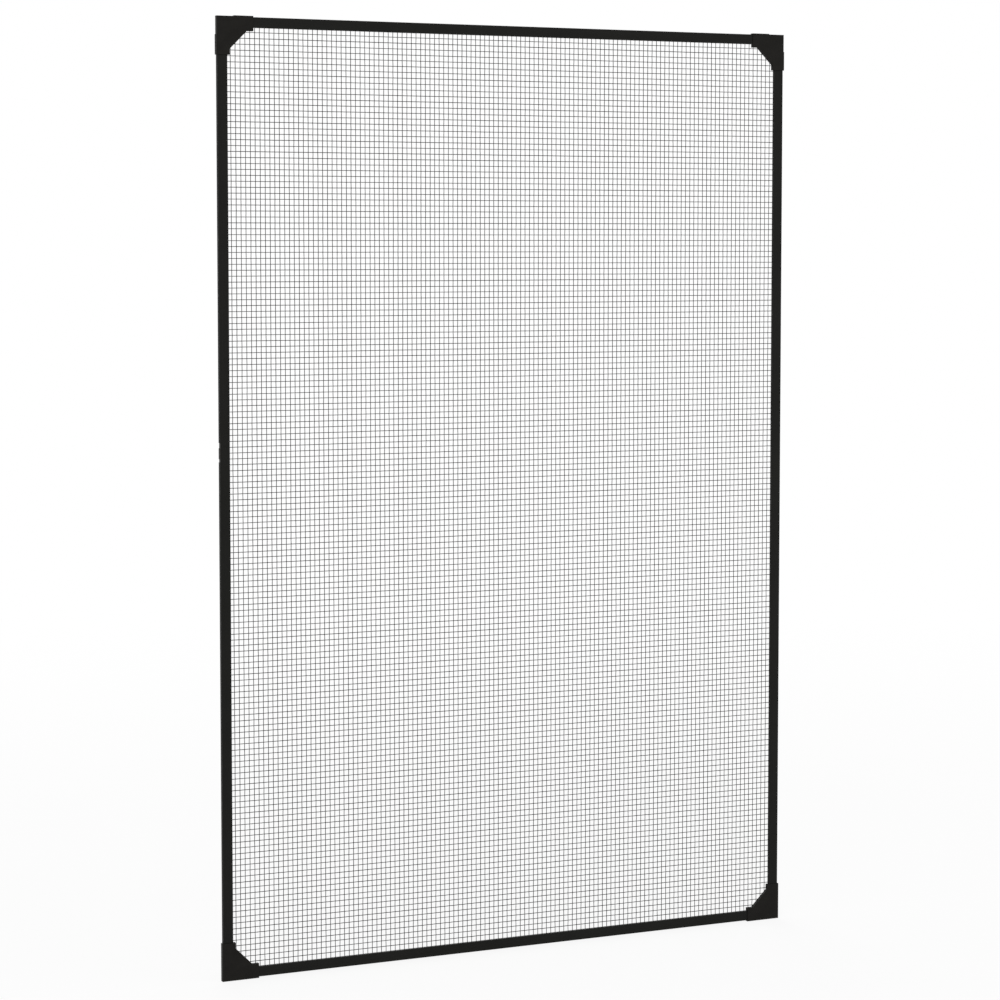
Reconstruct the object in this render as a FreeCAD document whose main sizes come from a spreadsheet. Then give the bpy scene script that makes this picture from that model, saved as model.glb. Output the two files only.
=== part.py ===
import FreeCAD, Part
import os
from types import SimpleNamespace
import Sketcher
from FreeCAD import Placement, Rotation, Vector

# Window screen frame: four slim profiles, four moulded corners, a stretched
# woven mesh held in a groove by cords, and flexible strips along the back.
# X runs across, Y from the front to the back, Z up. The origin is at the middle
# of the bottom edge, halfway through the thickness.

# Driving sizes in millimetres
SIZES = {
    # outer size of the rectangle of profiles
    "frame_width": 800.0,
    "frame_height": 1200.0,
    # section of the profile, seen from its end
    "face_width": 13.0,
    "profile_depth": 5.5,
    "profile_wall": 1.2,
    "profile_rounding": 0.5,
    "strip_channel_width": 5.0,
    "strip_channel_depth": 1.0,
    "groove_width": 3.2,
    "groove_depth": 3.2,
    "lip_width": 1.4,
    "lip_drop": 1.2,
    # moulded corner: the block between the profiles and the sleeves round their ends;
    # the blocks of the two top corners stand less proud than their sleeves
    "block_length": 22.0,
    "top_block_proud": 0.6,
    "sleeve_length": 24.8,
    "sleeve_proud": 1.4,
    "rail_sleeve_wall": 4.2,
    "stile_sleeve_wall": 2.9,
    "corner_front": 1.0,
    "corner_rounding": 0.4,
    "gusset_reach": 55.5,
    "gusset_web": 1.6,
    "gusset_rim": 1.4,
    "tongue_length": 18.0,
    "sleeve_clearance": 0.1,
    # woven mesh, its turned-in edge and the cord that presses it in
    "mesh_thickness": 0.4,
    "mesh_clearance": 0.05,
    "bar_width": 1.2,
    "ridge_width": 0.8,
    "ridge_height": 0.3,
    "cord_diameter": 2.2,
    "cord_clearance": 0.05,
    # flexible strip in the channel of the back
    "strip_thickness": 1.5,
    "strip_clearance": 0.05,
    # plug in the outer edge of the left stile
    "plug_slot_height": 24.0,
    "plug_slot_middle": 663.6,
    "plug_tab_height": 13.6,
    "plug_tab_drop": 1.4,
    "plug_recess": 0.65,
    "plug_core_width": 3.6,
    "plug_clearance": 0.1,
    # shallow score across the front of the left stile, level with the top of the plug
    "score_height": 2.4,
    "score_depth": 0.35,
    "score_middle": 671.7,
}
# Gaps between the bars of the mesh, across and up
GAPS_ACROSS = 10
GAPS_UP = 12

doc = FreeCAD.newDocument("window_screen_frame")
sheet = doc.addObject("Spreadsheet::Sheet", "Sizes")
for row, (name, number) in enumerate(SIZES.items(), start=1):
    sheet.set(f"A{row}", name.replace("_", " "))
    sheet.set(f"B{row}", str(number))
    sheet.setAlias(f"B{row}", name)
doc.recompute()


class Length:
    """A length that keeps its formula, so that what is drawn with it stays bound to the sheet."""

    def __init__(self, value, formula):
        self.value = value
        self.formula = formula

    def __add__(self, other):
        other = as_length(other)
        return Length(self.value + other.value, f"({self.formula} + {other.formula})")

    def __radd__(self, other):
        return as_length(other) + self

    def __sub__(self, other):
        other = as_length(other)
        return Length(self.value - other.value, f"({self.formula} - {other.formula})")

    def __rsub__(self, other):
        return as_length(other) - self

    def __mul__(self, number):
        return Length(self.value * number, f"({self.formula} * {number})")

    def __truediv__(self, number):
        return Length(self.value / number, f"({self.formula} / {number})")

    def __neg__(self):
        return Length(-self.value, f"(0 - {self.formula})")


def as_length(value):
    return value if isinstance(value, Length) else Length(value, str(value))


s = SimpleNamespace(**{name: Length(number, f"Sizes.{name}") for name, number in SIZES.items()})

# Places along the section, measured inwards from the outer edge of the profile
groove_outer = s.face_width - s.lip_width - s.groove_width
groove_inner = s.face_width - s.lip_width
channel_inner = s.profile_wall + s.strip_channel_width
chamber_inner = groove_outer - s.profile_wall

# Places through the thickness, measured backwards from the front of the profile
back = s.profile_depth
lip_level = back - s.lip_drop
groove_floor = back - s.groove_depth
channel_floor = back - s.strip_channel_depth
chamber_back = channel_floor - s.profile_wall
mesh_back = lip_level + s.mesh_thickness
mesh_floor = groove_floor + s.mesh_clearance

# Overall thickness, and the front of the profile within it
thickness = s.corner_front + s.profile_depth + s.strip_thickness - s.strip_channel_depth
profile_front = s.corner_front - thickness / 2

# Outer edges of the rectangle of profiles
half_width = s.frame_width / 2
bottom = s.sleeve_proud
top = s.sleeve_proud + s.frame_height

# The four corners, keyed by the turn about Y that brings the bottom left corner there.
# A side starts at its corner and runs along its own Z: the left stile at 0 degrees,
# the top rail at 90, the right stile at 180 and the bottom rail at -90.
CORNERS = {
    0: (-half_width, bottom),
    90: (-half_width, top),
    180: (half_width, top),
    -90: (half_width, bottom),
}


def set_down(piece, turn, inwards, behind, along):
    """Puts a piece at a place of the side that starts at the corner with this turn."""
    corner_x, corner_z = CORNERS[turn]
    spot = {
        0: (corner_x + inwards, corner_z + along),
        90: (corner_x + along, corner_z - inwards),
        180: (corner_x - inwards, corner_z - along),
        -90: (corner_x - along, corner_z + inwards),
    }[turn]
    put(piece, spot[0], profile_front + behind, spot[1], turn)


def put(piece, x, y, z, turn=0):
    x, y, z = as_length(x), as_length(y), as_length(z)
    piece.Placement = Placement(Vector(x.value, y.value, z.value), Rotation(Vector(0, 1, 0), turn))
    piece.setExpression("Placement.Base.x", x.formula)
    piece.setExpression("Placement.Base.y", y.formula)
    piece.setExpression("Placement.Base.z", z.formula)


def add_sketch(body, name, plane, offset=None):
    """A sketch on one of the body's own planes, moved along its normal."""
    sketch = body.newObject("Sketcher::SketchObject", name)
    planes = {feature.Role: feature for feature in body.Origin.OriginFeatures}
    sketch.AttachmentSupport = [(planes[plane], "")]
    sketch.MapMode = "FlatFace"
    if offset is not None:
        sketch.setExpression("AttachmentOffset.Base.z", as_length(offset).formula)
    return sketch


def add_face_sketch(body, name, behind):
    """A sketch seen from the front: its X and Y run along the body's X and Z."""
    return add_sketch(body, name, "XZ_Plane", -as_length(behind))


def add_loop(sketch, corners):
    """A closed outline through corners whose places are all bound to the sheet."""
    corners = [(as_length(x), as_length(y)) for x, y in corners]
    first = sketch.GeometryCount
    count = len(corners)
    for i, (x, y) in enumerate(corners):
        end_x, end_y = corners[(i + 1) % count]
        start = Vector(x.value, y.value, 0)
        end = Vector(end_x.value, end_y.value, 0)
        sketch.addGeometry(Part.LineSegment(start, end), False)
    for i in range(count):
        following = first + (i + 1) % count
        sketch.addConstraint(Sketcher.Constraint("Coincident", first + i, 2, following, 1))
    for i, (x, y) in enumerate(corners):
        before_x, before_y = corners[i - 1]
        if i > 0 and before_x.formula == x.formula:
            sketch.addConstraint(Sketcher.Constraint("Vertical", first + i - 1))
        else:
            bind(sketch, "DistanceX", first + i, x)
        if i > 0 and before_y.formula == y.formula:
            sketch.addConstraint(Sketcher.Constraint("Horizontal", first + i - 1))
        else:
            bind(sketch, "DistanceY", first + i, y)


def bind(sketch, kind, line, length):
    """The start of a line at a bound distance from the sketch's origin."""
    index = sketch.addConstraint(Sketcher.Constraint(kind, -1, 1, line, 1, length.value))
    sketch.setExpression(f"Constraints[{index}]", length.formula)


def add_rectangle(sketch, left, low, right, high):
    add_loop(sketch, [(left, low), (right, low), (right, high), (left, high)])


def add_pad(body, name, sketch, length):
    pad = body.newObject("PartDesign::Pad", name)
    pad.Profile = sketch
    pad.setExpression("Length", as_length(length).formula)
    doc.recompute()
    return pad


def add_pocket(body, name, sketch, depth):
    """Cuts forwards, from the sketch towards the front of the body."""
    before = body.Shape.Volume
    pocket = body.newObject("PartDesign::Pocket", name)
    pocket.Profile = sketch
    pocket.Reversed = True
    pocket.setExpression("Length", as_length(depth).formula)
    doc.recompute()
    if not body.Shape.Volume < before:
        raise ValueError(f"{body.Label}: {name} cuts nothing")
    return pocket


def add_rounding(body, name, radius, chosen):
    """Rounds the edges of the body so far whose points the test chooses."""
    doc.recompute()
    base = body.Tip
    edges = []
    for number, edge in enumerate(base.Shape.Edges, start=1):
        ends = [vertex.Point for vertex in edge.Vertexes]
        if chosen(ends):
            edges.append(f"Edge{number}")
    fillet = body.newObject("PartDesign::Fillet", name)
    fillet.Base = (base, edges)
    fillet.setExpression("Radius", radius.formula)
    doc.recompute()
    return fillet


def near(value, length):
    return abs(value - as_length(length).value) < 1e-6


def add_profile(label, turn, side_length):
    """One side: an extruded section with a chamber, a channel and a groove for the mesh."""
    body = doc.addObject("PartDesign::Body", label)
    section = add_sketch(body, "section", "XY_Plane")
    add_loop(
        section,
        [
            (0, 0),
            (s.face_width, 0),
            (s.face_width, lip_level),
            (groove_inner, lip_level),
            (groove_inner, groove_floor),
            (groove_outer, groove_floor),
            (groove_outer, back),
            (channel_inner, back),
            (channel_inner, channel_floor),
            (s.profile_wall, channel_floor),
            (s.profile_wall, back),
            (0, back),
        ],
    )
    add_rectangle(section, s.profile_wall, s.profile_wall, chamber_inner, chamber_back)
    add_pad(body, "extrusion", section, side_length - s.block_length * 2)

    def on_front_edge(ends):
        at_side = all(near(p.x, 0) for p in ends) or all(near(p.x, s.face_width) for p in ends)
        along = abs(ends[0].z - ends[-1].z) > 1
        return at_side and along and all(near(p.y, 0) for p in ends)

    add_rounding(body, "front_edges", s.profile_rounding, on_front_edge)
    set_down(body, turn, as_length(0), as_length(0), s.block_length)
    return body


def add_corner(label, turn, is_top):
    """One moulded corner: block, two sleeves with tongues, and a cored gusset.

    The stile's sleeve runs along Z at the bottom left and top right, and along X at
    the other two corners.
    """
    body = doc.addObject("PartDesign::Body", label)
    leg = s.block_length + s.sleeve_length
    rail_inner = s.face_width + s.rail_sleeve_wall
    stile_inner = s.face_width + s.stile_sleeve_wall
    stile_along_z = turn in (0, 180)
    inner_x = stile_inner if stile_along_z else rail_inner
    inner_z = rail_inner if stile_along_z else stile_inner
    sleeve_outer = -s.sleeve_proud
    outer = -s.top_block_proud if is_top else sleeve_outer
    full = s.corner_front + back

    # Block, legs and gusset in one outline
    outline = add_face_sketch(body, "outline", back)
    add_loop(
        outline,
        [
            (outer, outer),
            (leg, outer),
            (leg, inner_z),
            (s.gusset_reach - inner_z, inner_z),
            (inner_x, s.gusset_reach - inner_x),
            (inner_x, leg),
            (outer, leg),
        ],
    )
    add_pad(body, "moulding", outline, full)

    # At the top the sleeves stand a little further out than the block
    if is_top:
        step = add_face_sketch(body, "sleeve_step", back)
        add_rectangle(step, s.block_length, sleeve_outer, leg, outer)
        add_rectangle(step, sleeve_outer, s.block_length, outer, leg)
        add_pad(body, "sleeves", step, full)

    # Rounded front edges
    front = -s.corner_front

    def on_front(ends):
        return all(near(p.y, front) for p in ends)

    add_rounding(body, "front_edges", s.corner_rounding, on_front)

    # Seats for the ends of the two profiles, open at the back
    seat = add_face_sketch(body, "seats", back)
    far = leg + s.sleeve_proud
    near_edge = -s.sleeve_clearance
    far_edge = s.face_width + s.sleeve_clearance
    add_rectangle(seat, s.block_length, near_edge, far, far_edge)
    add_rectangle(seat, near_edge, s.block_length, far_edge, far)
    add_pocket(body, "seat_cut", seat, back + s.sleeve_clearance)

    # The mesh passes behind the inner walls and the gusset
    relief = add_face_sketch(body, "mesh_relief", back)
    add_rectangle(relief, groove_inner, groove_inner, far, far)
    add_pocket(body, "mesh_relief_cut", relief, s.lip_drop + s.mesh_clearance)

    # The groove and the strip's channel turn the corner
    for name, inner_edge, outer_edge, depth in (
        ("groove", groove_inner, groove_outer, s.groove_depth),
        ("channel", channel_inner, s.profile_wall, s.strip_channel_depth),
    ):
        turning = add_face_sketch(body, name, back)
        end = s.block_length
        add_loop(
            turning,
            [
                (outer_edge, outer_edge),
                (end, outer_edge),
                (end, inner_edge),
                (inner_edge, inner_edge),
                (inner_edge, end),
                (outer_edge, end),
            ],
        )
        add_pocket(body, f"{name}_cut", turning, depth)

    # The gusset is cored from the back, which leaves a web and a rim
    core = add_face_sketch(body, "gusset_core", lip_level)
    reach = s.gusset_reach - s.gusset_rim * 1.4142
    add_loop(core, [(inner_x, inner_z), (reach - inner_z, inner_z), (inner_x, reach - inner_x)])
    add_pocket(body, "gusset_core_cut", core, lip_level + s.corner_front - s.gusset_web)

    # Tongues that enter the chambers of the profiles
    tongue_back = chamber_back - s.sleeve_clearance
    tongues = add_face_sketch(body, "tongues", tongue_back)
    low = s.profile_wall + s.sleeve_clearance
    high = chamber_inner - s.sleeve_clearance
    tip = s.block_length + s.tongue_length
    add_rectangle(tongues, s.block_length, low, tip, high)
    add_rectangle(tongues, low, s.block_length, high, tip)
    add_pad(body, "tongue_pads", tongues, tongue_back - low)

    set_down(body, turn, as_length(0), as_length(0), as_length(0))
    return body


def add_mesh(label):
    """The stretched mesh: bars that cross in one wall, and an edge tucked into the groove."""
    body = doc.addObject("PartDesign::Body", label)
    half_height = s.frame_height / 2

    def add_band(sketch, inset):
        across = half_width - inset
        up = half_height - inset
        add_rectangle(sketch, -across, -up, across, up)

    # Sheet that lies on the inner lip
    sheet_outline = add_face_sketch(body, "sheet", mesh_back)
    tucked = groove_inner - s.mesh_clearance - s.mesh_thickness
    add_band(sheet_outline, tucked)
    add_pad(body, "sheet_wall", sheet_outline, s.mesh_thickness)

    # Edge turned down into the groove and up again round the cord
    edge = add_face_sketch(body, "edge", mesh_back)
    add_band(edge, groove_outer + s.mesh_clearance)
    add_band(edge, groove_inner - s.mesh_clearance)
    add_pad(body, "edge_fold", edge, mesh_back - mesh_floor)
    trough = add_face_sketch(body, "trough", mesh_back)
    add_band(trough, groove_outer + s.mesh_clearance + s.mesh_thickness)
    add_band(trough, tucked)
    add_pocket(body, "trough_cut", trough, mesh_back - mesh_floor - s.mesh_thickness)

    # Gaps between the bars, in rows and columns over the whole opening
    open_across = s.frame_width - s.face_width * 2
    open_up = s.frame_height - s.face_width * 2
    gap_across = (open_across - s.bar_width * (GAPS_ACROSS - 1)) / GAPS_ACROSS
    gap_up = (open_up - s.bar_width * (GAPS_UP - 1)) / GAPS_UP
    left = -open_across / 2
    low = -open_up / 2
    gap = add_face_sketch(body, "gap", mesh_back)
    add_rectangle(gap, left, low, left + gap_across, low + gap_up)
    gap_cut = add_pocket(body, "gap_cut", gap, s.mesh_thickness * 2)
    step_across = gap_across + s.bar_width
    step_up = gap_up + s.bar_width
    gaps = body.newObject("PartDesign::MultiTransform", "gaps")
    gaps.Originals = [gap_cut]
    rows = [
        add_row(body, "columns", gap, "H_Axis", step_across, GAPS_ACROSS),
        add_row(body, "rows", gap, "V_Axis", step_up, GAPS_UP),
    ]
    gaps.Transformations = rows
    body.Tip = gaps
    doc.recompute()

    # Raised threads: those that run up show at the front, those across at the back
    half_ridge = s.ridge_width / 2
    first_up = left + gap_across + s.bar_width / 2
    threads_up = add_face_sketch(body, "threads_up", lip_level)
    add_rectangle(threads_up, first_up - half_ridge, low, first_up + half_ridge, -low)
    up_pad = add_pad(body, "thread_up", threads_up, s.ridge_height)
    repeat(body, "threads_up_all", up_pad, threads_up, "H_Axis", step_across, GAPS_ACROSS - 1)

    first_across = low + gap_up + s.bar_width / 2
    threads_across = add_face_sketch(body, "threads_across", mesh_back + s.ridge_height)
    add_rectangle(threads_across, left, first_across - half_ridge, -left, first_across + half_ridge)
    across_pad = add_pad(body, "thread_across", threads_across, s.ridge_height)
    repeat(body, "threads_across_all", across_pad, threads_across, "V_Axis", step_up, GAPS_UP - 1)

    put(body, 0, profile_front, bottom + half_height)
    return body


def add_row(body, name, sketch, axis, step, count):
    """A row of copies along a sketch's axis, set by the step between neighbours."""
    pattern = body.newObject("PartDesign::LinearPattern", name)
    pattern.Direction = (sketch, [axis])
    pattern.setExpression("Length", (step * (count - 1)).formula)
    pattern.Occurrences = count
    return pattern


def repeat(body, name, original, sketch, axis, step, count):
    pattern = add_row(body, name, sketch, axis, step, count)
    pattern.Originals = [original]
    body.Tip = pattern
    doc.recompute()
    return pattern


def add_cord(label, turn, side_length, start):
    """A round cord pressed into the groove over the edge of the mesh."""
    cord = doc.addObject("Part::Cylinder", label)
    cord.setExpression("Radius", (s.cord_diameter / 2).formula)
    cord.setExpression("Height", (side_length - start * 2).formula)
    middle = groove_outer + s.groove_width / 2
    behind = mesh_floor + s.mesh_thickness + s.cord_diameter / 2
    set_down(cord, turn, middle, behind, start)
    return cord


def add_strip(label, turn, side_length, start):
    """A flat flexible strip in the channel of the back, proud of it by half a millimetre."""
    strip = doc.addObject("Part::Box", label)
    strip.setExpression("Length", (s.strip_channel_width - s.strip_clearance * 2).formula)
    strip.setExpression("Width", s.strip_thickness.formula)
    strip.setExpression("Height", (side_length - start * 2).formula)
    set_down(strip, turn, s.profile_wall + s.strip_clearance, channel_floor, start)
    return strip


def cut_plug_slot(stile):
    """The slot in the outer wall of the left stile, through its whole depth."""
    slot = add_face_sketch(stile, "plug_slot", back)
    low = s.plug_slot_middle - s.plug_slot_height / 2 - s.block_length
    add_rectangle(slot, -s.plug_recess, low, s.profile_wall, low + s.plug_slot_height)
    add_pocket(stile, "plug_slot_cut", slot, back * 2)


def cut_score(stile):
    """The shallow score that crosses the front of the left stile."""
    score = add_face_sketch(stile, "score", s.score_depth)
    low = s.score_middle - s.score_height / 2 - s.block_length
    add_rectangle(score, -s.profile_wall, low, s.face_width + s.profile_wall, low + s.score_height)
    add_pocket(stile, "score_cut", score, s.score_depth * 2)


def add_plug(label):
    """The plug that fills the slot: a low flange, a tab flush with the stile, and a core."""
    body = doc.addObject("PartDesign::Body", label)
    half_slot = s.plug_slot_height / 2 - s.plug_clearance
    half_tab = s.plug_tab_height / 2
    flange = add_face_sketch(body, "flange", back)
    add_loop(
        flange,
        [
            (s.plug_recess, -half_slot),
            (s.profile_wall, -half_slot),
            (s.profile_wall, half_slot),
            (s.plug_recess, half_slot),
            (s.plug_recess, half_tab - s.plug_tab_drop),
            (0, half_tab - s.plug_tab_drop),
            (0, -half_tab - s.plug_tab_drop),
            (s.plug_recess, -half_tab - s.plug_tab_drop),
        ],
    )
    add_pad(body, "flange_pad", flange, back)
    core = add_face_sketch(body, "core", chamber_back - s.plug_clearance)
    add_rectangle(core, s.profile_wall, -half_slot, s.profile_wall + s.plug_core_width, half_slot)
    depth = chamber_back - s.profile_wall - s.plug_clearance * 2
    add_pad(body, "core_pad", core, depth)
    set_down(body, 0, as_length(0), as_length(0), s.plug_slot_middle)
    return body


# The four corners and sides, each side starting at its corner
rail_cord_start = groove_outer + s.mesh_clearance + s.mesh_thickness
stile_cord_start = rail_cord_start + s.cord_diameter + s.cord_clearance * 2
rail_strip_start = s.profile_wall + s.strip_clearance
stile_strip_start = channel_inner + s.strip_clearance
pieces = []
for turn, side, corner, is_stile in (
    (0, "left_stile", "corner_bottom_left", True),
    (90, "top_rail", "corner_top_left", False),
    (180, "right_stile", "corner_top_right", True),
    (-90, "bottom_rail", "corner_bottom_right", False),
):
    side_length = s.frame_height if is_stile else s.frame_width
    profile = add_profile(side, turn, side_length)
    if side == "left_stile":
        cut_plug_slot(profile)
        cut_score(profile)
    pieces.append(profile)
    pieces.append(add_corner(corner, turn, "top" in corner))
    where = side.split("_")[0]
    cord_start = stile_cord_start if is_stile else rail_cord_start
    strip_start = stile_strip_start if is_stile else rail_strip_start
    pieces.append(add_cord(f"{where}_mesh_cord", turn, side_length, cord_start))
    pieces.append(add_strip(f"{where}_magnet_strip", turn, side_length, strip_start))
pieces.append(add_mesh("insect_mesh"))
pieces.append(add_plug("edge_plug"))
doc.recompute()

# Checks before anything is written
faults = []
for item in doc.Objects:
    if any(state in ("Invalid", "Error") for state in item.State):
        faults.append(f"{item.Label}: {item.State}")
for piece in pieces:
    shape = piece.Shape
    if shape.isNull() or not shape.isValid() or len(shape.Solids) != 1:
        faults.append(f"{piece.Label}: its shape is empty, not valid or not one solid")
if faults:
    raise ValueError("; ".join(faults))

os.makedirs("parts", exist_ok=True)
for piece in pieces:
    piece.Shape.exportStep(f"parts/{piece.Label}.step")
    box = piece.Shape.BoundBox
    print(
        f"{piece.Label:22s} {piece.Shape.Volume:10.1f} mm3"
        f"  X {box.XMin:8.2f} {box.XMax:8.2f}"
        f"  Y {box.YMin:6.2f} {box.YMax:6.2f}"
        f"  Z {box.ZMin:8.2f} {box.ZMax:8.2f}"
    )
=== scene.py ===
"""Dresses the window screen frame.

The four profiles, the four moulded corners and the edge plug are the solids of
the frame itself, each with a finish. The mesh is woven here from its threads,
and the cords and magnet strips are drawn again with their flutes and rounded
edges. Everything is in metres: X across, Y from front to back, Z up.
"""

import logging
import math
from dataclasses import dataclass, field
from enum import Enum
from typing import Any, Protocol

import bpy
import numpy as np
from mathutils import Matrix, Vector


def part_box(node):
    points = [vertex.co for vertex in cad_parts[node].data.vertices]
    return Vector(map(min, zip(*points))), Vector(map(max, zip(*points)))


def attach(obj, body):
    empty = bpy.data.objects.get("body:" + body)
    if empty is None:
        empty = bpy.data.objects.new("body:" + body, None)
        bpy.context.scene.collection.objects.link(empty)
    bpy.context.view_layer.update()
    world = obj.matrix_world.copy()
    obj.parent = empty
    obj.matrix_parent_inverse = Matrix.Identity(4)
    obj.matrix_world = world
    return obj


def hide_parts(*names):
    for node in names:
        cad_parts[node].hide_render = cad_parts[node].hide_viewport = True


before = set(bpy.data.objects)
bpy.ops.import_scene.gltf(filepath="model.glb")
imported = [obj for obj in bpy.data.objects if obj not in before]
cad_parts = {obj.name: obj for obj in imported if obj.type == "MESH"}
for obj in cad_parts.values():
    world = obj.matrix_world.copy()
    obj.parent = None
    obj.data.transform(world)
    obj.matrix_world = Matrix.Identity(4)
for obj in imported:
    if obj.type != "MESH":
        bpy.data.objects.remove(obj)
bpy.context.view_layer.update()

MM = 0.001
BACKWARDS = 1  # the number of the axis that runs from front to back
log = logging.getLogger("window_screen")


class Axis(Enum):
    """The direction in which a side of the frame or a thread runs."""

    ACROSS = 0
    UP = 2

    @property
    def sideways(self) -> "Axis":
        """The other axis that lies in the plane of the frame."""
        return Axis.UP if self is Axis.ACROSS else Axis.ACROSS


class Side(Enum):
    """The four sides of the frame: each one's name in its pieces, and the way it runs."""

    TOP = ("top", Axis.ACROSS)
    BOTTOM = ("bottom", Axis.ACROSS)
    LEFT = ("left", Axis.UP)
    RIGHT = ("right", Axis.UP)


@dataclass(frozen=True)
class Outline:
    """The outer edges of the four profiles, just inside the proud corners, and their front.

    The foot is the height of the bottom edge, and the front is a place along Y.
    """

    width: float = 800.0 * MM
    height: float = 1200.0 * MM
    foot: float = 1.4 * MM
    front: float = -2.5 * MM

    def span(self, axis: Axis) -> tuple[float, float]:
        """Where the outline starts and ends along an axis.

        Args:
            axis: which axis.

        Returns:
            The lower and the higher place.
        """
        if axis is Axis.ACROSS:
            return -self.width / 2, self.width / 2
        return self.foot, self.foot + self.height


# Shader maths


@dataclass(frozen=True)
class Pattern:
    """One layer of noise: its waves to the metre, and its finer layers with their strength.

    A pattern that is drawn out has another number of waves along one axis.
    """

    waves: float
    layers: float
    strength: float = 0.5
    waves_along: float = 0.0


class Shader:
    """The node tree of one material or world, with a method that adds any node."""

    # The sockets of a Mix node that are for colours.
    MIX_FIRST, MIX_SECOND, MIX_RESULT = 6, 7, 2

    def __init__(self, tree: bpy.types.NodeTree) -> None:
        """Empties the tree that it fills."""
        self.tree = tree
        self.tree.nodes.clear()

    def node(
        self, kind: str, settings: dict[str, Any], inputs: dict[str | int, Any]
    ) -> bpy.types.Node:
        """Adds a node, sets it up and fills its sockets.

        Args:
            kind: the node's type.
            settings: its own settings, such as a Math node's operation; "stops" fills a ramp.
            inputs: plain values or Value objects, by socket name or number.

        Returns:
            The new node.
        """
        made = self.tree.nodes.new(kind)
        for name, setting in settings.items():
            if name == "stops":
                self._fill_ramp(made.color_ramp, setting)
            else:
                setattr(made, name, setting)
        for key, given in inputs.items():
            if isinstance(given, Value):
                self.tree.links.new(given.socket, made.inputs[key])
            else:
                made.inputs[key].default_value = given
        return made

    @staticmethod
    def _fill_ramp(ramp: bpy.types.ColorRamp, stops: tuple[tuple[float, float], ...]) -> None:
        """Sets the two stops of a new ramp.

        Args:
            ramp: the ramp.
            stops: places and grey levels, from low to high.
        """
        for element, (place, level) in zip(ramp.elements, stops):
            element.position = place
            element.color = (level, level, level, 1.0)

    def value(
        self,
        kind: str,
        settings: dict[str, Any],
        inputs: dict[str | int, Any],
        output: str | int = 0,
    ) -> "Value":
        """Adds a node and wraps the output that has this name or number."""
        return Value(self, self.node(kind, settings, inputs).outputs[output])

    def place(self, stretch: tuple[float, ...] = (1.0, 1.0, 1.0)) -> "Value":
        """The place on the object as a vector, scaled along X, Y and Z."""
        place = self.value("ShaderNodeTexCoord", {}, {}, "Object")
        return self.value("ShaderNodeMapping", {}, {"Vector": place, "Scale": stretch})

    def along(self, axis: Axis) -> "Value":
        """The distance in metres from the origin along one axis, with its sign."""
        return self.value("ShaderNodeSeparateXYZ", {}, {0: self.place()}, axis.value)

    def noise(self, pattern: Pattern, axis: Axis | None = None) -> "Value":
        """Noise over the object, from 0 to 1 and about 0.5 in the middle.

        Args:
            pattern: its waves and layers.
            axis: the axis along which the pattern is drawn out, if it is.

        Returns:
            The noise as a number.
        """
        waves = [pattern.waves] * 3
        if axis is not None:
            waves[axis.value] = pattern.waves_along
        inputs = {
            "Vector": self.place(tuple(waves)),
            "Scale": 1.0,
            "Detail": pattern.layers,
            "Roughness": pattern.strength,
        }
        return self.value("ShaderNodeTexNoise", {}, inputs)

    def rise(self, given: "Value", reach: tuple[float, float]) -> "Value":
        """Maps a number to 0 below the reach, 1 above it and a straight line between."""
        stops = tuple(zip(reach, (0.0, 1.0)))
        return self.value("ShaderNodeValToRGB", {"stops": stops}, {"Fac": given}, "Color")

    def blend(self, factor: "Value", first: Any, second: Any) -> "Value":
        """Mixes two colours, from the first at 0 to the second at 1.

        Args:
            factor: the share of the second.
            first: a plain colour or a Value.
            second: a plain colour or a Value.

        Returns:
            The mixed colour.
        """
        settings = {"data_type": "RGBA", "clamp_factor": True}
        inputs = {0: factor, self.MIX_FIRST: first, self.MIX_SECOND: second}
        return self.value("ShaderNodeMix", settings, inputs, self.MIX_RESULT)


class Value:
    """A number in a shader, on which Python's operators add Math nodes."""

    def __init__(self, shader: Shader, socket: bpy.types.NodeSocket) -> None:
        """Wraps the output socket that holds the number."""
        self.shader = shader
        self.socket = socket

    def _math(self, operation: str, first: Any, second: Any) -> "Value":
        """Adds one Math node on two numbers."""
        return self.shader.value("ShaderNodeMath", {"operation": operation}, {0: first, 1: second})

    def __add__(self, other: Any) -> "Value":
        """This number plus another."""
        return self._math("ADD", self, other)

    def __radd__(self, other: Any) -> "Value":
        """Another number plus this one."""
        return self._math("ADD", other, self)

    def __sub__(self, other: Any) -> "Value":
        """This number less another."""
        return self._math("SUBTRACT", self, other)

    def __rsub__(self, other: Any) -> "Value":
        """Another number less this one."""
        return self._math("SUBTRACT", other, self)

    def __mul__(self, other: Any) -> "Value":
        """This number times another."""
        return self._math("MULTIPLY", self, other)

    def __rmul__(self, other: Any) -> "Value":
        """Another number times this one."""
        return self._math("MULTIPLY", other, self)

    def __abs__(self) -> "Value":
        """The number without its sign."""
        return self._math("ABSOLUTE", self, 0.0)

    def at_most(self, other: Any) -> "Value":
        """The smaller of this number and another."""
        return self._math("MINIMUM", self, other)

    def at_least(self, other: Any) -> "Value":
        """The larger of this number and another."""
        return self._math("MAXIMUM", self, other)


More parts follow.
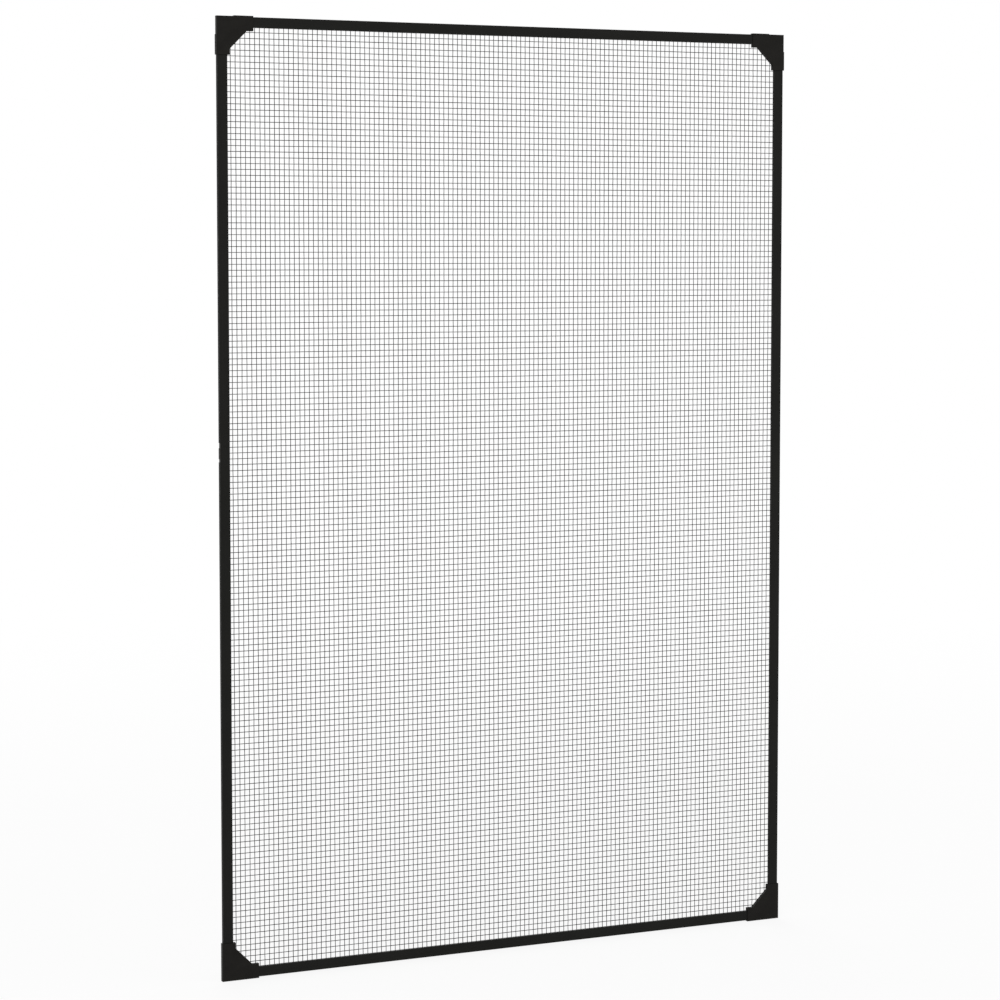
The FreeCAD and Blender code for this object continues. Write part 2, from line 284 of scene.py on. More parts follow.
class Surface(Shader):
    """The shader of one new material."""

    COAT_ROUGHNESS = 0.45

    def __init__(self, name: str) -> None:
        """Makes an empty material.

        Args:
            name: the material's name.
        """
        self.made = bpy.data.materials.new(name)
        self.made.use_nodes = True
        super().__init__(self.made.node_tree)

    def close(
        self,
        colour: Value,
        roughness: Value,
        relief: Value,
        depth: float,
        specular: float,
        coat: Value | float = 0.0,
    ) -> bpy.types.Material:
        """Joins colour, roughness, relief and coat into the material's surface.

        Args:
            colour: the base colour.
            roughness: the roughness.
            relief: the height of the relief, from 0 to 1.
            depth: the height in metres that 1 stands for.
            specular: the level of the mirror part, 0.5 for common plastics.
            coat: the share of a thin, duller top coat.

        Returns:
            The material.
        """
        bump = {"Strength": 1.0, "Distance": depth, "Height": relief}
        inputs = {
            "Base Color": colour,
            "Roughness": roughness,
            "Specular IOR Level": specular,
            "Coat Weight": coat,
            "Coat Roughness": self.COAT_ROUGHNESS,
            "Normal": self.value("ShaderNodeBump", {}, bump),
        }
        body = self.value("ShaderNodeBsdfPrincipled", {}, inputs)
        self.node("ShaderNodeOutputMaterial", {}, {"Surface": body})
        return self.made


class Cast(Enum):
    """The tint of a near-neutral colour, as its shares of red, green and blue."""

    NEUTRAL = (1.0, 1.0, 1.0)
    FAINT = (1.015, 1.0, 0.92)
    WARM = (1.0, 1.0, 0.865)
    BROWN = (1.06, 0.97, 0.805)


def grey(level: float, cast: Cast = Cast.NEUTRAL) -> tuple[float, float, float, float]:
    """A near-neutral colour.

    Args:
        level: its linear level.
        cast: its tint.

    Returns:
        The colour with full alpha.
    """
    red, green, blue = cast.value
    return (level * red, level * green, level * blue, 1.0)


WHITE = grey(1.0)


# Finishes, in which shades are shares of the finish's own level


class Finish(Protocol):
    """What every finish can do."""

    def material(self) -> bpy.types.Material:
        """Makes the material, ready for any piece of that kind."""


@dataclass(frozen=True)
class PaintedProfile:
    """Matt black powder coat on an extruded profile: fine orange peel over faint die lines.

    The profiles that run along the axis have their outer edges half_size to each
    side of middle, measured along the other axis.
    """

    axis: Axis
    half_size: float
    middle: float
    face_width: float = 13.0 * MM
    level: float = 0.00705
    shades: tuple[float, float] = (0.4, 1.65)
    # How light the front edges are painted: partly rubbed wear, partly a painted highlight on the
    # rims.
    edge_wear_and_highlight_tone: float = 3.2
    specular: float = 0.09
    roughness: float = 0.47
    peel: Pattern = Pattern(1300.0, 2.0)
    die_lines: Pattern = Pattern(1500.0, 2.0, 0.6, waves_along=3.0)
    patches: Pattern = Pattern(14.0, 4.0, 0.6)
    scuffs_and_highlight: Pattern = Pattern(90.0, 5.0, 0.7)
    scuff_and_highlight_range: tuple[float, float] = (0.5, 0.68)
    scuff_and_highlight_reach: float = 0.5 * MM
    speck_range: tuple[float, float] = (0.42, 0.6)
    relief_depth: float = 0.04 * MM

    def material(self) -> bpy.types.Material:
        """Makes the material.

        Peel is fine noise, the die lines are noise drawn out along the side, and the
        two front edges are lighter, partly rubbed wear and partly a painted highlight:
        nearness to an edge is one less than the distance to it over its reach, broken
        up by noise. The tops of the relief are glossier than its hollows.

        Returns:
            The material.
        """
        shader = Surface(f"painted_profile_{self.axis.name.lower()}")
        peel = shader.noise(self.peel)
        lines = shader.noise(self.die_lines, self.axis)
        patches = shader.noise(self.patches)
        inwards = self.half_size - abs(shader.along(self.axis.sideways) - self.middle)
        to_edge = abs(inwards).at_most(abs(inwards - self.face_width))
        near_edge = (1.0 - to_edge * (1.0 / self.scuff_and_highlight_reach)).at_least(0.0)
        # Lighter front edges: partly rubbed wear, partly a painted highlight along the rims.
        edge_wear_and_highlight = near_edge * shader.rise(shader.noise(self.scuffs_and_highlight), self.scuff_and_highlight_range)
        tone = patches * 0.5 + peel * 0.3 + lines * 0.2
        dark, light = (grey(self.level * shade, Cast.WARM) for shade in self.shades)
        worn_and_highlit_colour = grey(self.level * self.edge_wear_and_highlight_tone, Cast.FAINT)
        colour = shader.blend(edge_wear_and_highlight * 0.5, shader.blend(tone, dark, light), worn_and_highlit_colour)
        roughness = self.roughness + patches * 0.12 + peel * 0.08 - edge_wear_and_highlight * 0.1
        relief = peel * 0.7 + lines * 0.3
        coat = shader.rise(relief, self.speck_range) * 0.05 + patches * 0.03
        return shader.close(colour, roughness, relief, self.relief_depth, self.specular, coat)


@dataclass(frozen=True)
class MouldedPlastic:
    """Black moulded plastic with a fine spark-eroded grain and faint flow marks."""

    name: str = "moulded_plastic"
    level: float = 0.0065
    shades: tuple[float, float] = (0.4, 1.65)
    specular: float = 0.09
    roughness: float = 0.49
    cell_waves: float = 1900.0
    fine_grain: Pattern = Pattern(2600.0, 2.0, 0.6)
    flow_marks: Pattern = Pattern(45.0, 3.0, 0.6, waves_along=70.0)
    flow_range: tuple[float, float] = (0.4, 0.62)
    dust: Pattern = Pattern(700.0, 3.0, 0.7)
    dust_range: tuple[float, float] = (0.66, 0.8)
    dust_level: float = 0.05
    relief_depth: float = 0.05 * MM

    def material(self) -> bpy.types.Material:
        """Makes the material.

        The grain is round cells broken up by fine noise. Flow marks are wide noise,
        closer together upwards, and the finest specks are dust in the grain.

        Returns:
            The material.
        """
        shader = Surface(self.name)
        inputs = {"Vector": shader.place(), "Scale": self.cell_waves, "Randomness": 1.0}
        cells = shader.value("ShaderNodeTexVoronoi", {}, inputs, "Distance")
        fine = shader.noise(self.fine_grain)
        flow = shader.noise(self.flow_marks, Axis.UP)
        dust = shader.rise(shader.noise(self.dust), self.dust_range)
        tone = flow * 0.6 + fine * 0.4
        dark, light = (grey(self.level * shade, Cast.BROWN) for shade in self.shades)
        plain = shader.blend(tone, dark, light)
        colour = shader.blend(dust * 0.12, plain, grey(self.dust_level, Cast.FAINT))
        roughness = self.roughness + flow * 0.1 + cells * 0.05
        relief = cells * 0.6 + fine * 0.4
        coat = cells * 0.07 + shader.rise(flow, self.flow_range) * 0.02
        return shader.close(colour, roughness, relief, self.relief_depth, self.specular, coat)


@dataclass(frozen=True)
class CoatedThread:
    """Black coated yarn: a smooth skin with slight lumps and a twist showing through."""

    level: float = 0.009
    shades: tuple[float, float] = (0.7, 1.4)
    specular: float = 0.3
    roughness: float = 0.36
    twist_waves: float = 620.0
    twist_bend: float = 1.2
    lumps: Pattern = Pattern(260.0, 2.0)
    patches: Pattern = Pattern(9.0, 3.0)
    dust: Pattern = Pattern(420.0, 3.0, 0.7)
    dust_range: tuple[float, float] = (0.62, 0.8)
    dust_level: float = 0.06
    relief_depth: float = 0.05 * MM

    def material(self) -> bpy.types.Material:
        """Makes the material.

        The twist is slanted bands, the lumps are noise along the thread, and dust
        lightens small spots.

        Returns:
            The material.
        """
        shader = Surface("coated_thread")
        settings = {"wave_type": "BANDS", "bands_direction": "DIAGONAL", "wave_profile": "SIN"}
        inputs = {
            "Vector": shader.place(),
            "Scale": self.twist_waves,
            "Distortion": self.twist_bend,
            "Detail": 1.0,
        }
        twist = shader.value("ShaderNodeTexWave", settings, inputs, "Fac")
        lumps = shader.noise(self.lumps)
        patches = shader.noise(self.patches)
        dust = shader.rise(shader.noise(self.dust), self.dust_range)
        tone = lumps * 0.6 + patches * 0.4
        dark_shade, light_shade = self.shades
        dark, light = grey(self.level * dark_shade), grey(self.level * light_shade, Cast.FAINT)
        plain = shader.blend(tone, dark, light)
        colour = shader.blend(dust * 0.1, plain, grey(self.dust_level, Cast.FAINT))
        roughness = self.roughness + lumps * 0.12 + patches * 0.1
        relief = twist * 0.5 + lumps * 0.5
        return shader.close(colour, roughness, relief, self.relief_depth, self.specular)


@dataclass(frozen=True)
class SoftCord:
    """Dull black rubbery cord with bloom in its flutes."""

    level: float = 0.014
    bloom_shade: float = 2.2
    specular: float = 0.3
    roughness: float = 0.6
    grain: Pattern = Pattern(2200.0, 2.0)
    bloom: Pattern = Pattern(60.0, 4.0, 0.65)
    bloom_range: tuple[float, float] = (0.45, 0.75)
    relief_depth: float = 0.04 * MM

    def material(self) -> bpy.types.Material:
        """Makes the material: fine grain, with a pale bloom in patches.

        Returns:
            The material.
        """
        shader = Surface("soft_cord")
        grain = shader.noise(self.grain)
        hazy = shader.rise(shader.noise(self.bloom), self.bloom_range)
        pale = grey(self.level * self.bloom_shade, Cast.FAINT)
        colour = shader.blend(hazy * 0.6, grey(self.level), pale)
        roughness = self.roughness + hazy * 0.2 + grain * 0.05
        return shader.close(colour, roughness, grain, self.relief_depth, self.specular)


@dataclass(frozen=True)
class MagnetRubber:
    """Dark brown-grey magnet rubber with calender lines along it."""

    axis: Axis
    level: float = 0.022
    shades: tuple[float, float] = (0.7, 1.4)
    specular: float = 0.35
    roughness: float = 0.58
    calender_lines: Pattern = Pattern(1100.0, 3.0, 0.65, waves_along=5.0)
    powder: Pattern = Pattern(1700.0, 3.0, 0.7)
    patches: Pattern = Pattern(20.0, 3.0)
    relief_depth: float = 0.05 * MM

    def material(self) -> bpy.types.Material:
        """Makes the material: noise drawn out along the strip, and a powdery grain.

        Returns:
            The material.
        """
        shader = Surface(f"magnet_rubber_{self.axis.name.lower()}")
        lines = shader.noise(self.calender_lines, self.axis)
        powder = shader.noise(self.powder)
        patches = shader.noise(self.patches)
        tone = lines * 0.5 + powder * 0.2 + patches * 0.3
        dark, light = (grey(self.level * shade, Cast.BROWN) for shade in self.shades)
        colour = shader.blend(tone, dark, light)
        roughness = self.roughness + patches * 0.14 + powder * 0.08
        relief = lines * 0.6 + powder * 0.4
        return shader.close(colour, roughness, relief, self.relief_depth, self.specular)


# Surfaces worked out as whole arrays


@dataclass
class Faces:
    """Points and faces of the closed tubes that make up one piece."""

    points: list[np.ndarray] = field(default_factory=list)
    quads: list[np.ndarray] = field(default_factory=list)
    ends: list[np.ndarray] = field(default_factory=list)
    count: int = 0

    def add_tubes(self, rings: np.ndarray) -> None:
        """Adds closed tubes, all with the same number of rings and sides.

        Each side face joins two neighbours on a ring to the same two on the next
        ring. The faces are turned round where the first tube's volume, summed as
        the triple products of its side faces' corners, comes out below zero.

        Args:
            rings: points as tube, ring, side and coordinate.
        """
        tubes, turns, sides, _ = rings.shape
        number = np.arange(tubes * turns * sides).reshape(tubes, turns, sides) + self.count
        here, there = number[:, :-1, :], number[:, 1:, :]
        quads = np.stack([here, np.roll(here, -1, 2), np.roll(there, -1, 2), there], -1)
        quads = quads.reshape(-1, 4)
        ends = np.concatenate([number[:, 0, ::-1], number[:, -1, :]])
        flat = rings.reshape(-1, 3)
        first = quads[: (turns - 1) * sides] - self.count
        middle = rings[0].reshape(-1, 3).mean(0)
        a, b, c, d = (flat[first[:, corner]] - middle for corner in range(4))
        volume = (np.cross(a, b) * c).sum() + (np.cross(a, c) * d).sum()
        if volume < 0:
            quads, ends = quads[:, ::-1], ends[:, ::-1]
        self.points.append(flat)
        self.quads.append(quads)
        self.ends.append(ends)
        self.count += len(flat)

    def build(self, name: str, material: bpy.types.Material, smooth: bool = True) -> bpy.types.Object:
        """Puts the arrays into a mesh object that moves with the frame.

        Args:
            name: the piece's name.
            material: its finish.
            smooth: whether its sides are shaded as round; its ends are always flat.

        Returns:
            The new object, at the origin.
        """
        faces = self.quads + self.ends
        points = np.concatenate(self.points).astype(np.float32)
        loops = np.concatenate([group.ravel() for group in faces])
        sizes = np.concatenate([np.full(len(group), group.shape[1]) for group in faces])
        starts = np.concatenate([[0], np.cumsum(sizes)[:-1]])
        rounded = np.zeros(len(starts), bool)
        rounded[: sum(len(group) for group in self.quads)] = smooth
        mesh = bpy.data.meshes.new(name)
        mesh.vertices.add(len(points))
        mesh.vertices.foreach_set("co", points.ravel())
        mesh.loops.add(len(loops))
        mesh.loops.foreach_set("vertex_index", loops.astype(np.int32))
        mesh.polygons.add(len(starts))
        mesh.polygons.foreach_set("loop_start", starts.astype(np.int32))
        mesh.polygons.foreach_set("use_smooth", rounded)
        mesh.update(calc_edges=True)
        mesh.validate()
        mesh.materials.append(material)
        piece = bpy.data.objects.new(name, mesh)
        bpy.context.scene.collection.objects.link(piece)
        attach(piece, "root")
        return piece


def basis(axis: Axis) -> tuple[np.ndarray, np.ndarray, np.ndarray]:
    """Directions of a side or thread.

    Args:
        axis: the way it runs.

    Returns:
        Unit vectors along it, sideways in the frame's plane, and backwards.
    """
    unit = np.eye(3)
    return unit[axis.value], unit[axis.sideways.value], unit[BACKWARDS]


def in_turn(count: int) -> np.ndarray:
    """Minus one and one in turn.

    Args:
        count: how many.

    Returns:
        The numbers, of which the first is minus one.
    """
    return np.where(np.arange(count) % 2, 1.0, -1.0)


def run_of(node: str, axis: Axis, count: int) -> tuple[np.ndarray, np.ndarray, np.ndarray]:
    """The straight run of one solid of the frame.

    Args:
        node: the solid's name.
        axis: the way it runs.
        count: how many stations it gets.

    Returns:
        Half of its size each way, its middle with zero along the run, and evenly
        spaced stations from end to end.
    """
    low, high = (np.array(corner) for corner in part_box(node))
    middle = (low + high) / 2
    middle[axis.value] = 0
    return (high - low) / 2, middle, np.linspace(low[axis.value], high[axis.value], count)


# Sub-assemblies


def paint_node(name: str, material: bpy.types.Material) -> None:
    """Gives one solid of the frame a finish.

    Args:
        name: the solid's name.
        material: its new material.
    """
    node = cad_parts[name]
    node.data.materials.clear()
    node.data.materials.append(material)
    log.info("%s dressed with %s", name, material.name)


@dataclass
class SideProfiles:
    """The four extruded profiles."""

    stiles: tuple[str, str] = ("left_stile", "right_stile")
    rails: tuple[str, str] = ("top_rail", "bottom_rail")
    outline: Outline = Outline()

    def dress(self) -> None:
        """Gives each profile a coat whose die lines run along it."""
        for axis, names in ((Axis.UP, self.stiles), (Axis.ACROSS, self.rails)):
            low, high = self.outline.span(axis.sideways)
            coat = PaintedProfile(axis, half_size=(high - low) / 2, middle=(low + high) / 2)
            material = coat.material()
            for name in names:
                paint_node(name, material)


@dataclass
class Corners:
    """The four moulded corners with their gussets, and the plug in the left stile."""

    names: tuple[str, ...] = (
        "corner_top_left",
        "corner_top_right",
        "corner_bottom_left",
        "corner_bottom_right",
    )
    plug: str = "edge_plug"
    corner_finish: Finish = MouldedPlastic()
    plug_finish: Finish = MouldedPlastic(name="plug_plastic", level=0.0086, roughness=0.42)

    def dress(self) -> None:
        """Gives the mouldings their grain, with a slightly smoother plug."""
        grained = self.corner_finish.material()
        smoother = self.plug_finish.material()
        for name in self.names:
            paint_node(name, grained)
        paint_node(self.plug, smoother)


@dataclass(frozen=True)
class Spacing:
    """Evenly spaced threads: the place of one of them, and from each to the next."""

    known: float
    pitch: float


@dataclass
class WovenMesh:
    """The stretched plain-woven mesh, tucked into the groove all round.

    Places near a thread's ends are measured inwards from the outer edge of the
    profiles, and depths backwards from the profiles' front. The mesh shows from
    open_from inwards and rests on the groove's lip at lip_level; sheet_from is not
    used. The points of the tuck are such a place and depth in
    millimetres, from the thread's end inwards.
    """

    outline: Outline = Outline()
    lip_level: float = 4.3 * MM
    open_from: float = 14.0 * MM
    sheet_from: float = 8.45 * MM
    upright: Spacing = Spacing(known=-387.955 * MM, pitch=6.3652 * MM)
    level: Spacing = Spacing(known=1182.784 * MM, pitch=7.3082 * MM)
    width: float = 0.95 * MM
    thickness: float = 0.56 * MM
    lift: float = 0.2 * MM
    tucked_width: float = 1.0 * MM
    tucked_thickness: float = 0.34 * MM
    width_spread: float = 0.04
    wander: float = 0.07 * MM
    wander_waves: tuple[float, ...] = (9.0, 23.0, 61.0)
    wander_peak: float = 1.7
    seed: int = 11
    sides: int = 6
    tuck: tuple[tuple[float, float], ...] = (
        (8.65, 4.55),
        (8.65, 2.80),
        (8.90, 2.55),
        (11.10, 2.55),
        (11.36, 2.80),
        (11.36, 4.05),
        (11.62, 4.46),
        (12.30, 4.50),
        (13.20, 4.62),
    )
    held_by: tuple[str, ...] = ("left_stile", "right_stile", "top_rail", "bottom_rail")

    def places(self, axis: Axis) -> np.ndarray:
        """Where the threads that run one way cross the other axis, evenly spaced.

        Args:
            axis: the way the threads run.

        Returns:
            Their places, from low to high, all inside the opening.
        """
        spacing = self.upright if axis is Axis.UP else self.level
        low, high = self.outline.span(axis.sideways)
        most = math.ceil((high - low) / spacing.pitch)
        places = spacing.known + spacing.pitch * np.arange(-most, most + 1)
        return places[(places > low + self.open_from) & (places < high - self.open_from)]

    def line(self, axis: Axis) -> tuple[np.ndarray, np.ndarray, np.ndarray]:
        """The stations of one thread: tucked end, crossings, tucked end.

        Args:
            axis: the way the thread runs.

        Returns:
            Places along the thread, depths, and +1 or -1 at crossings in turn, 0 elsewhere.
        """
        crossings = self.places(axis.sideways)
        low, high = self.outline.span(axis)
        inwards, depth = (np.array(column) * MM for column in zip(*self.tuck))
        plane = self.lip_level + self.thickness / 2 + self.lift
        along = np.concatenate([low + inwards, crossings, (high - inwards)[::-1]])
        depths = np.concatenate([depth, np.full(len(crossings), plane), depth[::-1]])
        turn = np.zeros(len(along))
        turn[len(self.tuck) : -len(self.tuck)] = in_turn(len(crossings))
        return along, depths + self.outline.front, turn

    def scatter(self, axis: Axis, count: int, along: np.ndarray) -> tuple[np.ndarray, np.ndarray]:
        """How the threads that run one way differ from straight and even ones.

        A thread wanders sideways by a sum of three slow sine waves with phases of
        its own, times the wander over the height that the sum mostly stays within.

        Args:
            axis: the way the threads run.
            count: how many threads there are.
            along: the places of the stations along a thread.

        Returns:
            Each thread's sideways drift at each station, and its gain in width.
        """
        random = np.random.default_rng(self.seed + axis.value)
        phases = random.uniform(0, math.tau, (len(self.wander_waves), count, 1))
        waves = np.array(self.wander_waves)[:, None, None]
        drift = np.sin(waves * along + phases).sum(0) * self.wander / self.wander_peak
        gain = 1 + random.normal(0, self.width_spread, (count, 1))
        return drift, gain

    def rings(self, axis: Axis) -> np.ndarray:
        """The rings of every thread that runs one way.

        A thread's centre line rises and falls by the lift at each crossing, the
        opposite way on its neighbours. A ring is an ellipse across the line: the
        sideways unit times half the width times the cosine, plus the line's normal
        times half the thickness times the sine.

        Args:
            axis: the way the threads run.

        Returns:
            Points as thread, ring, side and coordinate.
        """
        along_unit, side_unit, back_unit = basis(axis)
        places = self.places(axis)
        along, depth, turn = self.line(axis)
        parity = in_turn(len(places)) * (-1.0 if axis is Axis.UP else 1.0)
        depths = depth + self.lift * parity[:, None] * turn
        drift, gain = self.scatter(axis, len(places), along)
        slope_along = np.gradient(along)
        slope_depth = np.gradient(depths, axis=1)
        size = np.hypot(slope_along, slope_depth)
        backwards = (slope_along / size)[..., None] * back_unit
        normal = backwards - (slope_depth / size)[..., None] * along_unit
        tucked = np.zeros(len(along), bool)
        tucked[: len(self.tuck) - 1] = tucked[1 - len(self.tuck) :] = True
        half_width = np.where(tucked, self.tucked_width, self.width) / 2 * gain
        half_thick = np.where(tucked, self.tucked_thickness, self.thickness) / 2
        centre = (
            along[:, None] * along_unit
            + (places[:, None] + drift)[..., None] * side_unit
            + depths[..., None] * back_unit
        )
        angle = (np.arange(self.sides) + 0.5) * math.tau / self.sides
        return (
            centre[:, :, None, :]
            + half_width[..., None, None] * np.cos(angle)[:, None] * side_unit
            + half_thick[..., None, None] * np.sin(angle)[:, None] * normal[:, :, None, :]
        )

    def build(self, finish: Finish) -> None:
        """Builds the mesh as four quarters, because one piece would have too many faces.

        Each quarter takes half of the threads that run each way, and half of their
        length, up to a crossing that both neighbours share.

        Args:
            finish: what the threads are made of.
        """
        material = finish.material()
        up, across = self.rings(Axis.UP), self.rings(Axis.ACROSS)
        cut_x, cut_z = len(up) // 2, len(across) // 2
        ring_x, ring_z = cut_x + len(self.tuck), cut_z + len(self.tuck)
        quarters = {
            "mesh_lower_left": (up[:cut_x, : ring_z + 1], across[:cut_z, : ring_x + 1]),
            "mesh_lower_right": (up[cut_x:, : ring_z + 1], across[:cut_z, ring_x:]),
            "mesh_upper_left": (up[:cut_x, ring_z:], across[cut_z:, : ring_x + 1]),
            "mesh_upper_right": (up[cut_x:, ring_z:], across[cut_z:, ring_x:]),
        }
        for name, sheaves in quarters.items():
            faces = Faces()
            for sheaf in sheaves:
                faces.add_tubes(sheaf)
            piece = faces.build(name, material)
            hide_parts("insect_mesh")
            log.info("%s woven, %d faces", name, len(piece.data.polygons))


@dataclass
class MeshCords:
    """The round cords that press the mesh into the groove, each over its own solid."""

    flutes: int = 10
    sides: int = 40
    rings: int = 140
    flute_depth: float = 0.07 * MM
    press: float = 0.05 * MM
    roll_pitch: float = 21.0 * MM

    def build(self, finish: Finish) -> None:
        """Builds each cord in the place of its solid.

        The radius at an angle is the cord's own, less the flute depth times half of
        one minus the cosine of that angle times the number of flutes. The centre
        sinks and rises by a small sine along the cord, where it was rolled in.

        Args:
            finish: what the cords are made of.
        """
        material = finish.material()
        angle = np.arange(self.sides) * math.tau / self.sides
        flute = self.flute_depth * (1 - np.cos(self.flutes * angle)) / 2
        for where, axis in (side.value for side in Side):
            node = f"{where}_mesh_cord"
            half, middle, station = run_of(node, axis, self.rings)
            along_unit, side_unit, back_unit = basis(axis)
            radius = (half[BACKWARDS] - self.press - flute)[:, None]
            circle = np.cos(angle)[:, None] * side_unit + np.sin(angle)[:, None] * back_unit
            sink = self.press * np.sin(station * math.tau / self.roll_pitch)
            centre = middle + station[:, None] * along_unit + sink[:, None] * back_unit
            faces = Faces()
            faces.add_tubes((centre[:, None, :] + radius * circle)[None])
            piece = faces.build(f"{where}_fluted_cord", material)
            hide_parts(node)
            log.info("%s built over %s", piece.name, node)


@dataclass
class MagnetStrips:
    """The flexible strips in the back channels, with rounded edges and two fine grooves."""

    rounding: float = 0.22 * MM
    rounding_points: int = 5
    groove_half: float = 0.18 * MM
    groove_depth: float = 0.12 * MM
    groove_places: tuple[float, ...] = (1.1 * MM, -1.1 * MM)
    stations: int = 25

    def section(self, half_width: float, half_thick: float) -> np.ndarray:
        """The outline of a strip: a rectangle with quarter-circle corners and V grooves.

        Args:
            half_width: half of its width.
            half_thick: half of its thickness.

        Returns:
            Points as sideways and backwards distance from the middle.
        """
        turn = np.linspace(0, math.pi / 2, self.rounding_points)
        arc = np.stack([np.cos(turn), np.sin(turn)], -1) * self.rounding
        quarter = arc + (half_width - self.rounding, half_thick - self.rounding)
        grooves = [
            (place + offset * self.groove_half, half_thick - drop * self.groove_depth)
            for place in self.groove_places
            for offset, drop in ((1, 0), (0, 1), (-1, 0))
        ]
        reverse = quarter[::-1]
        others = (reverse * (-1, 1), quarter * (-1, -1), reverse * (1, -1))
        return np.concatenate([quarter, grooves, *others])

    def build(self) -> None:
        """Builds each strip in the place of its solid.

        The outline is carried straight along the side, through evenly spaced
        stations, with its grooves on the back.
        """
        rubbers = {axis: MagnetRubber(axis).material() for axis in Axis}
        for where, axis in (side.value for side in Side):
            node = f"{where}_magnet_strip"
            half, middle, station = run_of(node, axis, self.stations)
            along_unit, side_unit, back_unit = basis(axis)
            outline = self.section(half[axis.sideways.value], half[BACKWARDS])
            ring = middle + outline[:, :1] * side_unit + outline[:, 1:] * back_unit
            faces = Faces()
            faces.add_tubes((ring + station[:, None, None] * along_unit)[None])
            piece = faces.build(f"{where}_strip", rubbers[axis], smooth=False)
            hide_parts(node)
            log.info("%s built over %s", piece.name, node)


# Studio


@dataclass(frozen=True)
class Lamp:
    """One large soft square lamp; a lamp that isn't mirrored leaves no gloss on the frame."""

    name: str
    place: tuple[float, float, float]
    size: float
    power: float
    mirrored: bool = True

    def hang(self, target: Vector) -> None:
        """Hangs the lamp so that it faces a point.

        Args:
            target: the point.
        """
        light = bpy.data.lights.new(self.name, "AREA")
        light.shape = "SQUARE"
        light.size = self.size
        light.energy = self.power
        lamp = bpy.data.objects.new(self.name, light)
        lamp.location = self.place
        lamp.rotation_euler = (target - Vector(self.place)).to_track_quat("-Z", "Y").to_euler()
        lamp.visible_glossy = self.mirrored
        bpy.context.scene.collection.objects.link(lamp)


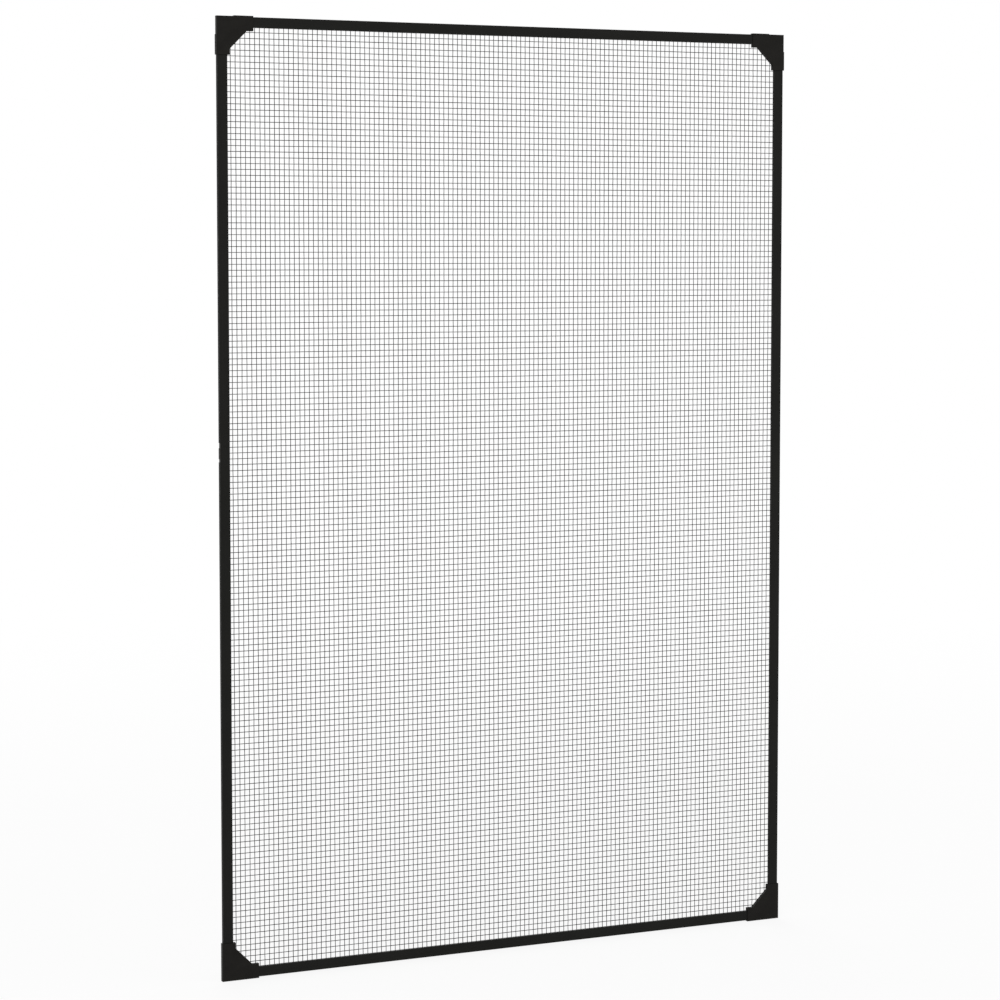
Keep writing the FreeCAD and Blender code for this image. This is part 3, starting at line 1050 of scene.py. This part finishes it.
@dataclass
class Studio:
    """The pale floor and the soft light.

    The floor shows plain white, but for a share of the shadow that it keeps near the
    frame and loses between the two distances of shadow_reach.
    """

    floor_level: float = -0.4 * MM
    floor_half: float = 9.0
    floor_tones: tuple[float, float] = (0.92, 0.97)
    floor_mottle: Pattern = Pattern(3.0, 3.0)
    shadow_share: float = 0.13
    shadow_reach: tuple[float, float] = (1.2, 3.4)
    world_light: float = 0.55
    lamp_target: tuple[float, float, float] = (0.0, 0.0, 0.6)
    lamps: tuple[Lamp, ...] = (
        Lamp("window_light", place=(-3.6, -5.8, 3.4), size=4.2, power=190.0),
        Lamp("fill_light", place=(4.8, -4.8, 2.4), size=4.0, power=90.0, mirrored=False),
        Lamp("back_light", place=(1.2, 5.6, 4.2), size=4.2, power=140.0),
    )

    @staticmethod
    def seen(shader: Shader) -> Value:
        """One for rays from the camera, a mirror or glass, and zero for the rest.

        Args:
            shader: the tree that needs the number.

        Returns:
            The number.
        """
        rays = shader.node("ShaderNodeLightPath", {}, {}).outputs
        names = ("Is Camera Ray", "Is Glossy Ray", "Is Transmission Ray")
        camera, mirror, glass = (Value(shader, rays[name]) for name in names)
        return camera.at_least(mirror).at_least(glass)

    def light_world(self) -> None:
        """A white world, plain in pictures and softer as light."""
        world = bpy.data.worlds.new("pale_world")
        world.use_nodes = True
        bpy.context.scene.world = world
        shader = Shader(world.node_tree)
        soft, plain = (
            shader.value("ShaderNodeBackground", {}, {"Color": WHITE, "Strength": strength})
            for strength in (self.world_light, 1.0)
        )
        mixed = shader.value("ShaderNodeMixShader", {}, {0: self.seen(shader), 1: soft, 2: plain})
        shader.node("ShaderNodeOutputWorld", {}, {"Surface": mixed})

    def lay_floor(self) -> None:
        """A flat pale floor that shows white and keeps a share of the shadow.

        That share is full up to the near distance from the origin and falls in a
        straight line to nothing at the far one.
        """
        grid = np.array([(-1, -1), (1, -1), (1, 1), (-1, 1)]) * self.floor_half
        points = np.column_stack([grid, np.full(len(grid), self.floor_level)])
        mesh = bpy.data.meshes.new("studio_floor")
        mesh.from_pydata(points.tolist(), [], [(0, 1, 2, 3)])
        shader = Surface("pale_floor")
        dark, light = (grey(tone) for tone in self.floor_tones)
        colour = shader.blend(shader.noise(self.floor_mottle), dark, light)
        matt = shader.value("ShaderNodeBsdfDiffuse", {}, {"Color": colour})
        plain = shader.value("ShaderNodeEmission", {}, {"Color": WHITE, "Strength": 1.0})
        settings = {"operation": "LENGTH"}
        away = shader.value("ShaderNodeVectorMath", settings, {0: shader.place()}, "Value")
        near, far = self.shadow_reach
        held = ((far - away) * (1 / (far - near))).at_most(1.0).at_least(0.0)
        share = self.seen(shader) * (1.0 - held * self.shadow_share)
        mixed = shader.value("ShaderNodeMixShader", {}, {0: share, 1: matt, 2: plain})
        shader.node("ShaderNodeOutputMaterial", {}, {"Surface": mixed})
        mesh.materials.append(shader.made)
        floor = bpy.data.objects.new("studio_floor", mesh)
        bpy.context.scene.collection.objects.link(floor)

    def build(self) -> None:
        """Lights the world, lays the floor and turns every lamp to the middle of the frame."""
        self.light_world()
        self.lay_floor()
        for lamp in self.lamps:
            lamp.hang(Vector(self.lamp_target))
        log.info("studio built with %d lamps", len(self.lamps))


@dataclass
class View:
    """The camera, from the front and the left, a little above the middle.

    Its turn and dip are in degrees, and its lens and sensor in millimetres.
    """

    turn: float = 24.805
    dip: float = 4.060
    distance: float = 3.6713
    target: tuple[float, float, float] = (-0.01734, 0.0, 0.66946)
    lens: float = 102.11
    sensor: float = 36.0
    shift: float = -0.06
    clip_end: float = 100.0

    def set_up(self) -> None:
        """Makes the camera and sets the plain view."""
        turn, dip = math.radians(self.turn), math.radians(self.dip)
        level = math.cos(dip)
        forward = Vector((math.sin(turn) * level, math.cos(turn) * level, -math.sin(dip)))
        place = Vector(self.target) - forward * self.distance
        facing = forward.to_track_quat("-Z", "Y").to_matrix().to_4x4()
        lens = bpy.data.cameras.new("camera")
        lens.lens = self.lens
        lens.sensor_width = self.sensor
        lens.shift_y = self.shift
        lens.clip_end = self.clip_end
        camera = bpy.data.objects.new("camera", lens)
        camera.matrix_world = Matrix.Translation(place) @ facing
        bpy.context.scene.collection.objects.link(camera)
        bpy.context.scene.camera = camera
        bpy.context.scene.view_settings.view_transform = "Standard"


def main() -> None:
    """Builds and dresses each sub-assembly in order."""
    logging.basicConfig(level=logging.INFO, format="%(name)s: %(message)s")
    SideProfiles().dress()
    Corners().dress()
    WovenMesh().build(CoatedThread())
    MeshCords().build(SoftCord())
    MagnetStrips().build()
    Studio().build()
    View().set_up()


if __name__ == "__main__":
    main()
